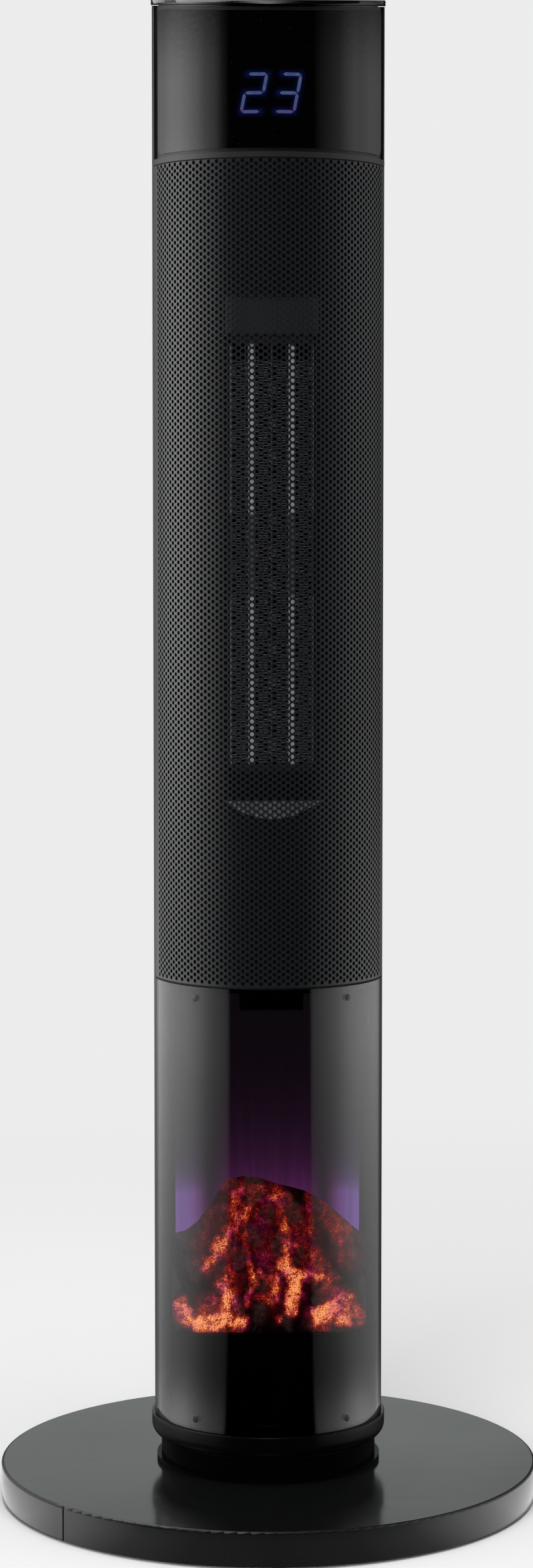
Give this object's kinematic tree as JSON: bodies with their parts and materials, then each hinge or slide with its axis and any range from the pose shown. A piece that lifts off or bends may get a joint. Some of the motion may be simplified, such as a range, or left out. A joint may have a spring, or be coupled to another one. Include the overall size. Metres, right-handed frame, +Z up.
{
  "type": "fan heater",
  "caption": "Oscillating tower fan heater on a round base: perforated front with a ceramic element, smoked flame window with an ember bed, gloss control head with a digit display.",
  "frame": {"origin": "centre of the base on the floor", "axes": "+Z up along the column, the front with the display faces -Y, +X to the viewer's right"},
  "size_m": [0.31, 0.31, 0.8662],
  "materials": {
    "gloss_black_plastic": "gloss black moulded plastic",
    "satin_black_plastic": "satin black moulded plastic",
    "inner_black_plastic": "matt black heat-resistant plastic",
    "perforated_steel": "dark powder coat on perforated steel",
    "plated_steel": "zinc-plated steel",
    "swivel_steel": "pressed steel",
    "white_acetal": "white low-friction plastic",
    "black_rubber": "matt rubber",
    "smoked_glass": "smoked clear window",
    "pin_steel": "dark plated steel",
    "element_aluminium": "bright aluminium",
    "heat_resin": "heat-resistant resin",
    "fan_plastic": "dark moulded plastic",
    "filter_mesh": "fine dark mesh",
    "circuit_board": "green solder mask",
    "frosted_screen": "frosted dark screen",
    "ember_resin": "translucent moulded embers",
    "reflector_foil": "bright reflector foil",
    "button_plastic": "gloss black key"
  },
  "bodies": {
    "base": {"base_cover": "gloss_black_plastic", "base_plate": "inner_black_plastic", "base_weight": "plated_steel", "base_feet": "black_rubber", "base_screws": "plated_steel", "neck": "satin_black_plastic", "neck_gasket": "black_rubber", "swivel_plate": "swivel_steel", "slide_ring": "white_acetal", "swivel_washer": "plated_steel", "tip_over_switch": "inner_black_plastic", "cord_gland": "black_rubber"},
    "tip_over_plunger": {"tip_over_plunger": "white_acetal"},
    "swing_crank": {"swing_crank": "swivel_steel"},
    "tower": {"bottom_collar": "satin_black_plastic", "rear_housing": "satin_black_plastic", "head_rear_shell": "satin_black_plastic", "front_grille": "perforated_steel", "outlet_frame": "inner_black_plastic", "window_glass": "smoked_glass", "window_pins": "pin_steel", "trim_ring": "satin_black_plastic", "head_panel": "gloss_black_plastic", "head_frame": "satin_black_plastic", "display_module": "inner_black_plastic", "top_cap": "gloss_black_plastic", "control_board": "circuit_board", "grip_cup": "satin_black_plastic", "partition_deck": "inner_black_plastic", "fan_deck_lower": "inner_black_plastic", "fan_deck_upper": "inner_black_plastic", "scroll_housing": "inner_black_plastic", "ptc_bars": "element_aluminium", "ptc_fins": "element_aluminium", "ptc_end_caps": "heat_resin", "thermal_cutout": "plated_steel", "fan_motor": "plated_steel", "lower_bearing": "white_acetal", "intake_filter": "filter_mesh", "power_board": "circuit_board", "chamber_liner": "inner_black_plastic", "flame_screen": "frosted_screen", "ember_bed": "ember_resin", "ember_tray": "inner_black_plastic", "violet_led_strip": "circuit_board", "lamp_box": "inner_black_plastic", "rotor_bracket": "inner_black_plastic", "flame_motor": "plated_steel", "swing_motor": "plated_steel", "housing_screws": "plated_steel", "switch_bezel": "inner_black_plastic"},
    "fan": {"fan_wheel": "fan_plastic", "fan_shaft": "plated_steel"},
    "flame_rotor": {"flame_rotor": "reflector_foil"},
    "mains_rocker": {"mains_rocker": "button_plastic"},
    "button_power": {"button_power": "button_plastic"},
    "button_heat": {"button_heat": "button_plastic"},
    "button_timer": {"button_timer": "button_plastic"},
    "button_swing": {"button_swing": "button_plastic"},
    "button_flame": {"button_flame": "button_plastic"}
  },
  "joints": [
    {"name": "tower_swing", "type": "hinge", "parent": "base", "child": "tower", "pos_m": [0, 0, 0.0365], "axis": [0, 0, 1], "range_deg": [-30, 30]},
    {"name": "crank_turn", "type": "hinge", "parent": "tower", "child": "swing_crank", "pos_m": [0, 0.026, 0.038], "axis": [0, 0, 1], "range_deg": [-91, 91]},
    {"name": "fan_spin", "type": "hinge", "parent": "tower", "child": "fan", "pos_m": [0, 0.014, 0.547], "axis": [0, 0, 1], "continuous": true},
    {"name": "flame_rotor_spin", "type": "hinge", "parent": "tower", "child": "flame_rotor", "pos_m": [-0.007, 0.036, 0.143], "axis": [1, 0, 0], "continuous": true},
    {"name": "mains_rocker_tip", "type": "hinge", "parent": "tower", "child": "mains_rocker", "pos_m": [0, 0.0614, 0.078], "axis": [1, 0, 0], "range_deg": [-9, 9]},
    {"name": "tip_over_slide", "type": "slide", "parent": "base", "child": "tip_over_plunger", "axis": [0, 0, 1], "range_m": [-0.004, 0], "stiffness_N_per_m": 40, "springref_m": -0.008},
    {"name": "button_power_press", "type": "slide", "parent": "tower", "child": "button_power", "axis": [0, -0.1392, 0.9903], "range_m": [-0.0008, 0], "stiffness_N_per_m": 600, "springref_m": 0.0004},
    {"name": "button_heat_press", "type": "slide", "parent": "tower", "child": "button_heat", "axis": [0, -0.1392, 0.9903], "range_m": [-0.0008, 0], "stiffness_N_per_m": 600, "springref_m": 0.0004},
    {"name": "button_timer_press", "type": "slide", "parent": "tower", "child": "button_timer", "axis": [0, -0.1392, 0.9903], "range_m": [-0.0008, 0], "stiffness_N_per_m": 600, "springref_m": 0.0004},
    {"name": "button_swing_press", "type": "slide", "parent": "tower", "child": "button_swing", "axis": [0, -0.1392, 0.9903], "range_m": [-0.0008, 0], "stiffness_N_per_m": 600, "springref_m": 0.0004},
    {"name": "button_flame_press", "type": "slide", "parent": "tower", "child": "button_flame", "axis": [0, -0.1392, 0.9903], "range_m": [-0.0008, 0], "stiffness_N_per_m": 600, "springref_m": 0.0004}
  ],
  "couplings": [
    {"joint": "crank_turn", "follows": "tower_swing", "ratio": -3}
  ]
}
